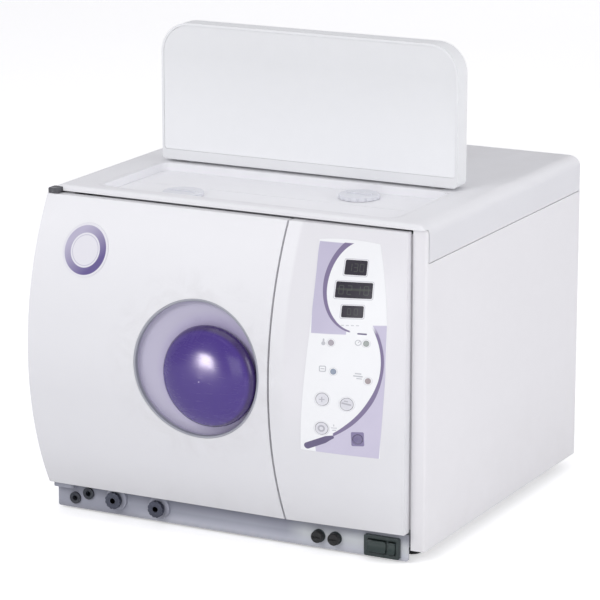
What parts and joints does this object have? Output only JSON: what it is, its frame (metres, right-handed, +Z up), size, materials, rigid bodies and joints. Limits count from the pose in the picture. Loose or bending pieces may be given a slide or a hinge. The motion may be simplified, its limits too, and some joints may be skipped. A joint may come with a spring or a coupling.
{
  "type": "benchtop autoclave",
  "caption": "White benchtop steam steriliser with a bowed side-hinged door, domed locking knob, control panel, plinth ports and a raised lid over the water reservoirs.",
  "frame": {"origin": "centre of the bounding box in X and Y, on the bench under the feet", "axes": "X to the right seen from the front, Y to the back, Z up"},
  "size_m": [0.5, 0.5606, 0.585],
  "materials": {
    "air_filter": "white",
    "back_panel": "satin white powder coat",
    "bolt_carriage": "machined",
    "bolt_guides": "machined",
    "cap_clean": "satin",
    "cap_used": "satin",
    "chamber_vessel": "polished",
    "chassis": "light grey coat",
    "control_electronics": "board",
    "control_fascia": "semi-gloss moulded",
    "control_label": "printed film",
    "display_modules": "dark window",
    "door_badge": "printed",
    "door_cover": "semi-gloss moulded",
    "door_gasket": "silicone",
    "door_hinges": "black coat",
    "door_plate": "brushed",
    "drain_fittings": "satin",
    "drain_valve_1": "plated",
    "drain_valve_2": "plated",
    "fan_frame": "black",
    "fan_rotor": "black",
    "feet": "matte",
    "front_bulkhead": "light coat",
    "front_plinth": "grey moulded",
    "fuse_cap_1": "black",
    "fuse_cap_2": "black",
    "hinge_blocks": "machined",
    "insulation": "glass wool",
    "key_1": "satin",
    "key_2": "satin",
    "key_3": "satin",
    "key_4": "satin",
    "knob": "gloss moulded",
    "knob_dish": "satin",
    "knob_spindle": "machined",
    "lid_hinges": "brushed",
    "lid_liner": "satin moulded",
    "lid_shell": "satin moulded",
    "lock_bolts": "ground",
    "mains_inlet": "black",
    "pressure_plate": "polished",
    "pumps_and_valves": "cast",
    "rear_fittings": "plated",
    "recess_tray": "satin moulded",
    "reservoirs": "translucent moulding",
    "rocker_aux": "tinted",
    "rocker_power": "tinted",
    "safety_cap": "knurled",
    "screws": "plated",
    "side_panel_left": "satin white powder coat",
    "side_panel_right": "satin white powder coat",
    "spindle_bearings": "machined",
    "steam_plant": "brushed",
    "switch_housings": "black",
    "top_cover": "satin moulded",
    "tray_lower": "brushed",
    "tray_middle": "brushed",
    "tray_rack": "brushed",
    "tray_upper": "brushed"
  },
  "bodies": {
    "cabinet": {"chassis": "chassis", "side_panel_left": "side_panel_left", "side_panel_right": "side_panel_right", "back_panel": "back_panel", "screws": "screws", "front_bulkhead": "front_bulkhead", "front_plinth": "front_plinth", "feet": "feet", "top_cover": "top_cover", "recess_tray": "recess_tray", "reservoirs": "reservoirs", "chamber_vessel": "chamber_vessel", "door_gasket": "door_gasket", "insulation": "insulation", "tray_rack": "tray_rack", "control_fascia": "control_fascia", "control_label": "control_label", "display_modules": "display_modules", "control_electronics": "control_electronics", "drain_fittings": "drain_fittings", "switch_housings": "switch_housings", "door_hinges": "door_hinges", "lid_hinges": "lid_hinges", "mains_inlet": "mains_inlet", "rear_fittings": "rear_fittings", "fan_frame": "fan_frame", "pumps_and_valves": "pumps_and_valves", "steam_plant": "steam_plant"},
    "door": {"door_cover": "door_cover", "knob_dish": "knob_dish", "door_plate": "door_plate", "pressure_plate": "pressure_plate", "hinge_blocks": "hinge_blocks", "bolt_guides": "bolt_guides", "spindle_bearings": "spindle_bearings", "door_badge": "door_badge"},
    "door_knob": {"knob": "knob", "knob_spindle": "knob_spindle"},
    "lock_carriage": {"bolt_carriage": "bolt_carriage", "lock_bolts": "lock_bolts"},
    "lid": {"lid_shell": "lid_shell", "lid_liner": "lid_liner"},
    "lower_tray": {"tray_lower": "tray_lower"},
    "middle_tray": {"tray_middle": "tray_middle"},
    "upper_tray": {"tray_upper": "tray_upper"},
    "used_water_cap": {"cap_used": "cap_used"},
    "clean_water_cap": {"cap_clean": "cap_clean"},
    "left_drain_valve": {"drain_valve_1": "drain_valve_1"},
    "right_drain_valve": {"drain_valve_2": "drain_valve_2"},
    "left_fuse_cap": {"fuse_cap_1": "fuse_cap_1"},
    "right_fuse_cap": {"fuse_cap_2": "fuse_cap_2"},
    "power_rocker": {"rocker_power": "rocker_power"},
    "auxiliary_rocker": {"rocker_aux": "rocker_aux"},
    "filter_cartridge": {"air_filter": "air_filter"},
    "safety_valve_cap": {"safety_cap": "safety_cap"},
    "fan": {"fan_rotor": "fan_rotor"},
    "key_1_button": {"key_1": "key_1"},
    "key_2_button": {"key_2": "key_2"},
    "key_3_button": {"key_3": "key_3"},
    "key_4_button": {"key_4": "key_4"}
  },
  "joints": [
    {"name": "door_swing", "type": "hinge", "parent": "cabinet", "child": "door", "pos_m": [-0.2425, -0.20075, 0.212], "axis": [0, 0, -1], "range_deg": [0, 105]},
    {"name": "knob_turn", "type": "hinge", "parent": "door", "child": "door_knob", "pos_m": [0, -0.25025, 0.214], "axis": [0, 1, 0], "range_deg": [0, 70]},
    {"name": "bolts_slide", "type": "slide", "parent": "door", "child": "lock_carriage", "axis": [1, 0, 0], "range_m": [0, 0.01711]},
    {"name": "lid_tilt", "type": "hinge", "parent": "cabinet", "child": "lid", "pos_m": [0, -0.00735, 0.415], "axis": [1, 0, 0], "range_deg": [-5, 90]},
    {"name": "lower_tray_slide", "type": "slide", "parent": "cabinet", "child": "lower_tray", "axis": [0, -1, 0], "range_m": [0, 0.022]},
    {"name": "middle_tray_slide", "type": "slide", "parent": "cabinet", "child": "middle_tray", "axis": [0, -1, 0], "range_m": [0, 0.022]},
    {"name": "upper_tray_slide", "type": "slide", "parent": "cabinet", "child": "upper_tray", "axis": [0, -1, 0], "range_m": [0, 0.022]},
    {"name": "used_cap_turn", "type": "hinge", "parent": "cabinet", "child": "used_water_cap", "pos_m": [-0.1, -0.13625, 0.402], "axis": [0, 0, 1], "range_deg": [0, 90]},
    {"name": "clean_cap_turn", "type": "hinge", "parent": "cabinet", "child": "clean_water_cap", "pos_m": [0.095, -0.05325, 0.402], "axis": [0, 0, 1], "range_deg": [0, 90]},
    {"name": "left_drain_turn", "type": "hinge", "parent": "cabinet", "child": "left_drain_valve", "pos_m": [-0.164, -0.19825, 0.023], "axis": [0, 1, 0], "range_deg": [0, 180]},
    {"name": "right_drain_turn", "type": "hinge", "parent": "cabinet", "child": "right_drain_valve", "pos_m": [-0.104, -0.19825, 0.021], "axis": [0, 1, 0], "range_deg": [0, 180]},
    {"name": "left_fuse_turn", "type": "hinge", "parent": "cabinet", "child": "left_fuse_cap", "pos_m": [0.114, -0.19825, 0.018], "axis": [0, 1, 0], "range_deg": [0, 60]},
    {"name": "right_fuse_turn", "type": "hinge", "parent": "cabinet", "child": "right_fuse_cap", "pos_m": [0.136, -0.19825, 0.018], "axis": [0, 1, 0], "range_deg": [0, 60]},
    {"name": "power_rock", "type": "hinge", "parent": "cabinet", "child": "power_rocker", "pos_m": [0.19, -0.19525, 0.0175], "axis": [1, 0, 0], "range_deg": [0, 14]},
    {"name": "auxiliary_rock", "type": "hinge", "parent": "cabinet", "child": "auxiliary_rocker", "pos_m": [0.212, -0.19525, 0.0175], "axis": [1, 0, 0], "range_deg": [0, 14]},
    {"name": "key_1_press", "type": "slide", "parent": "cabinet", "child": "key_1_button", "axis": [-0.2745, 0.9614, 0.0189], "range_m": [0, 0.0006]},
    {"name": "key_2_press", "type": "slide", "parent": "cabinet", "child": "key_2_button", "axis": [-0.3777, 0.9257, 0.021], "range_m": [0, 0.0006]},
    {"name": "key_3_press", "type": "slide", "parent": "cabinet", "child": "key_3_button", "axis": [-0.2545, 0.9617, 0.1017], "range_m": [0, 0.0006]},
    {"name": "key_4_press", "type": "slide", "parent": "cabinet", "child": "key_4_button", "axis": [-0.384, 0.9196, 0.0831], "range_m": [0, 0.0006]},
    {"name": "filter_turn", "type": "hinge", "parent": "cabinet", "child": "filter_cartridge", "pos_m": [-0.18, 0.26975, 0.1], "axis": [0, 1, 0], "range_deg": [0, 180]},
    {"name": "safety_cap_turn", "type": "hinge", "parent": "cabinet", "child": "safety_valve_cap", "pos_m": [0, 0.26975, 0.318], "axis": [0, 1, 0], "range_deg": [0, 90]},
    {"name": "fan_spin", "type": "hinge", "parent": "cabinet", "child": "fan", "pos_m": [0.14, 0.24975, 0.27], "axis": [0, 1, 0], "continuous": true}
  ],
  "couplings": [
    {"joint": "bolts_slide", "follows": "knob_turn", "m_per_rad": 0.014}
  ]
}
